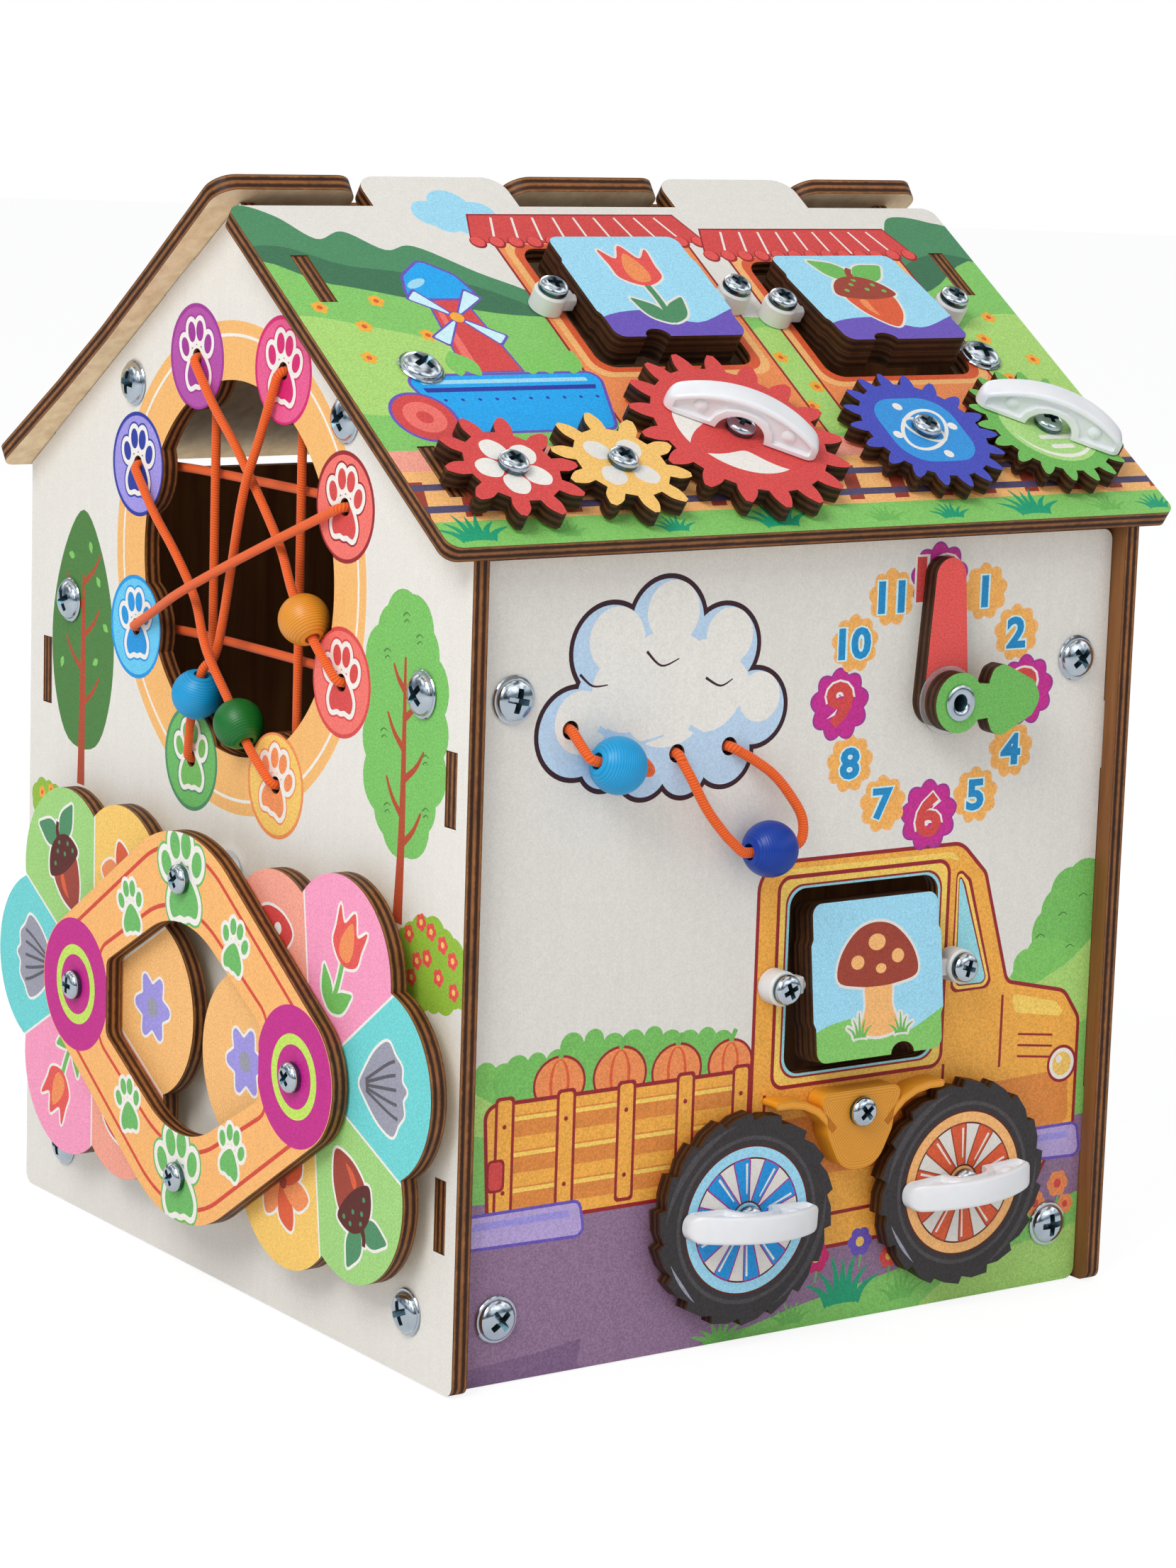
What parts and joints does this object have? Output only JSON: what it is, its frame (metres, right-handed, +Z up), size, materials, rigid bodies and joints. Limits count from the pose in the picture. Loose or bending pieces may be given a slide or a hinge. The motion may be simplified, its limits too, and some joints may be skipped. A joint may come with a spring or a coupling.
{
  "type": "busy board",
  "caption": "Plywood busy house with a gabled roof: gears, petal discs, lacing window, turning blocks, clock, beads on cords and clicking wheels.",
  "frame": {"origin": "middle of the footprint, on the ground", "axes": "+Z up, -Y out of the clock wall, -X out of the lacing gable"},
  "size_m": [0.311, 0.3168, 0.3837],
  "materials": {
    "birch_ply": "natural birch plywood with laser browned edges",
    "printed_panel": "off-white printed plywood, satin",
    "printed_red": "printed plywood, satin",
    "printed_yellow": "printed plywood, satin",
    "printed_blue": "printed plywood, satin",
    "printed_green": "printed plywood, satin",
    "printed_orange": "printed plywood, satin",
    "printed_teal": "printed plywood in several flat colours, satin",
    "printed_tyre": "printed plywood, satin",
    "white_plastic": "layered white plastic",
    "amber_plastic": "layered amber plastic",
    "zinc_steel": "bright zinc plate",
    "clear_plastic": "clear sheet",
    "orange_cord": "round elastic cord, thread wound",
    "bead_amber": "layered plastic",
    "bead_sky": "layered plastic",
    "bead_green": "layered plastic",
    "bead_navy": "layered plastic"
  },
  "bodies": {
    "house": {"bracket_front_left_lower": "zinc_steel", "bracket_front_left_upper": "zinc_steel", "bracket_front_right_lower": "zinc_steel", "bracket_front_right_upper": "zinc_steel", "bracket_rear_left_lower": "zinc_steel", "bracket_rear_left_upper": "zinc_steel", "bracket_rear_right_lower": "zinc_steel", "bracket_rear_right_upper": "zinc_steel", "bracket_roof_front_left": "zinc_steel", "bracket_roof_front_right": "zinc_steel", "bracket_roof_rear_left": "zinc_steel", "bracket_roof_rear_right": "zinc_steel", "clock_rivet": "zinc_steel", "clock_washer": "clear_plastic", "cloud_cord": "orange_cord", "diamond_frame": "printed_orange", "frame_post_lower": "zinc_steel", "frame_post_upper": "zinc_steel", "front_wall": "printed_panel", "gable_left": "printed_panel", "gable_right": "birch_ply", "gear_screw_blue": "zinc_steel", "gear_screw_small_red": "zinc_steel", "gear_screw_yellow": "zinc_steel", "holder_roof_left_left": "white_plastic", "holder_roof_left_right": "white_plastic", "holder_roof_right_left": "white_plastic", "holder_roof_right_right": "white_plastic", "holder_wall_left": "white_plastic", "holder_wall_right": "white_plastic", "lacing_cord": "orange_cord", "petal_pivot_left": "zinc_steel", "petal_pivot_right": "zinc_steel", "ratchet_pawl": "amber_plastic", "rear_wall": "birch_ply", "roof_front": "printed_panel", "roof_rear": "birch_ply"},
    "petal_disc_left": {"petal_disc_left": "printed_teal"},
    "petal_disc_right": {"petal_disc_right": "printed_teal"},
    "block_roof_left": {"block_roof_left": "printed_teal"},
    "block_roof_right": {"block_roof_right": "printed_teal"},
    "block_wall": {"block_wall": "printed_teal"},
    "gear_big_red": {"gear_big_red": "printed_red", "gear_handle_big_red": "white_plastic"},
    "gear_yellow": {"gear_yellow": "printed_yellow"},
    "gear_small_red": {"gear_small_red": "printed_red"},
    "gear_green": {"gear_green": "printed_green", "gear_handle_green": "white_plastic"},
    "gear_blue": {"gear_blue": "printed_blue"},
    "wheel_left": {"wheel_left": "printed_tyre", "wheel_handle_left": "white_plastic"},
    "wheel_right": {"wheel_right": "printed_tyre", "wheel_handle_right": "white_plastic"},
    "hour_hand": {"hour_hand": "printed_green"},
    "minute_hand": {"minute_hand": "printed_red"},
    "lacing_bead_amber": {"lacing_bead_amber": "bead_amber"},
    "lacing_bead_sky": {"lacing_bead_sky": "bead_sky"},
    "lacing_bead_green": {"lacing_bead_green": "bead_green"},
    "cloud_bead_sky": {"cloud_bead_sky": "bead_sky"},
    "cloud_bead_navy": {"cloud_bead_navy": "bead_navy"}
  },
  "joints": [
    {"name": "petal_disc_left_turn", "type": "hinge", "parent": "house", "child": "petal_disc_left", "pos_m": [-0.13855, 0.0797, 0.0931], "axis": [-1, 0, 0], "continuous": true},
    {"name": "petal_disc_right_turn", "type": "hinge", "parent": "house", "child": "petal_disc_right", "pos_m": [-0.13855, -0.0725, 0.0931], "axis": [-1, 0, 0], "continuous": true},
    {"name": "block_roof_left_turn", "type": "hinge", "parent": "house", "child": "block_roof_left", "pos_m": [-0.00885, -0.05389, 0.34486], "axis": [1, 0, 0], "continuous": true},
    {"name": "block_roof_right_turn", "type": "hinge", "parent": "house", "child": "block_roof_right", "pos_m": [0.08305, -0.06032, 0.34044], "axis": [1, 0, 0], "continuous": true},
    {"name": "block_wall_turn", "type": "hinge", "parent": "house", "child": "block_wall", "pos_m": [0.03395, -0.1394, 0.122], "axis": [1, 0, 0], "continuous": true},
    {"name": "gear_big_red_turn", "type": "hinge", "parent": "house", "child": "gear_big_red", "pos_m": [-0.01255, -0.11396, 0.30175], "axis": [0, -0.5664, 0.8241], "continuous": true},
    {"name": "gear_yellow_turn", "type": "hinge", "parent": "house", "child": "gear_yellow", "pos_m": [-0.06775, -0.12556, 0.29378], "axis": [0, -0.5664, 0.8241], "continuous": true},
    {"name": "gear_small_red_turn", "type": "hinge", "parent": "house", "child": "gear_small_red", "pos_m": [-0.10995, -0.12556, 0.29378], "axis": [0, -0.5664, 0.8241], "continuous": true},
    {"name": "gear_green_turn", "type": "hinge", "parent": "house", "child": "gear_green", "pos_m": [0.11869, -0.11666, 0.2999], "axis": [0, -0.5664, 0.8241], "continuous": true},
    {"name": "gear_blue_turn", "type": "hinge", "parent": "house", "child": "gear_blue", "pos_m": [0.06415, -0.11666, 0.2999], "axis": [0, -0.5664, 0.8241], "continuous": true},
    {"name": "wheel_left_turn", "type": "hinge", "parent": "house", "child": "wheel_left", "pos_m": [-0.01705, -0.1384, 0.0443], "axis": [0, -1, 0], "continuous": true},
    {"name": "wheel_right_turn", "type": "hinge", "parent": "house", "child": "wheel_right", "pos_m": [0.07645, -0.1384, 0.045], "axis": [0, -1, 0], "continuous": true},
    {"name": "hour_hand_turn", "type": "hinge", "parent": "house", "child": "hour_hand", "pos_m": [0.06015, -0.1441, 0.2155], "axis": [0, -1, 0], "continuous": true},
    {"name": "minute_hand_turn", "type": "hinge", "parent": "house", "child": "minute_hand", "pos_m": [0.06015, -0.1367, 0.2155], "axis": [0, -1, 0], "continuous": true},
    {"name": "lacing_bead_amber_turn", "type": "hinge", "parent": "house", "child": "lacing_bead_amber", "pos_m": [-0.13595, -0.04744, 0.24061], "axis": [0, -0.7071, -0.7071], "continuous": true},
    {"name": "lacing_bead_sky_turn", "type": "hinge", "parent": "house", "child": "lacing_bead_sky", "pos_m": [-0.13635, 0.02239, 0.20554], "axis": [0, 0.3827, -0.9239], "continuous": true},
    {"name": "lacing_bead_green_turn", "type": "hinge", "parent": "house", "child": "lacing_bead_green", "pos_m": [-0.13655, -0.00683, 0.19972], "axis": [0, -0.7071, -0.7071], "continuous": true},
    {"name": "cloud_bead_sky_turn", "type": "hinge", "parent": "house", "child": "cloud_bead_sky", "pos_m": [-0.07755, -0.1465, 0.20349], "axis": [0.9703, 0, -0.2419], "continuous": true},
    {"name": "cloud_bead_navy_turn", "type": "hinge", "parent": "house", "child": "cloud_bead_navy", "pos_m": [-0.01516, -0.1465, 0.1711], "axis": [0.9994, 0, 0.0349], "continuous": true}
  ],
  "couplings": [
    {"joint": "gear_yellow_turn", "follows": "gear_big_red_turn", "ratio": -1.7},
    {"joint": "gear_small_red_turn", "follows": "gear_big_red_turn", "ratio": 1.7},
    {"joint": "gear_blue_turn", "follows": "gear_green_turn", "ratio": -1}
  ]
}
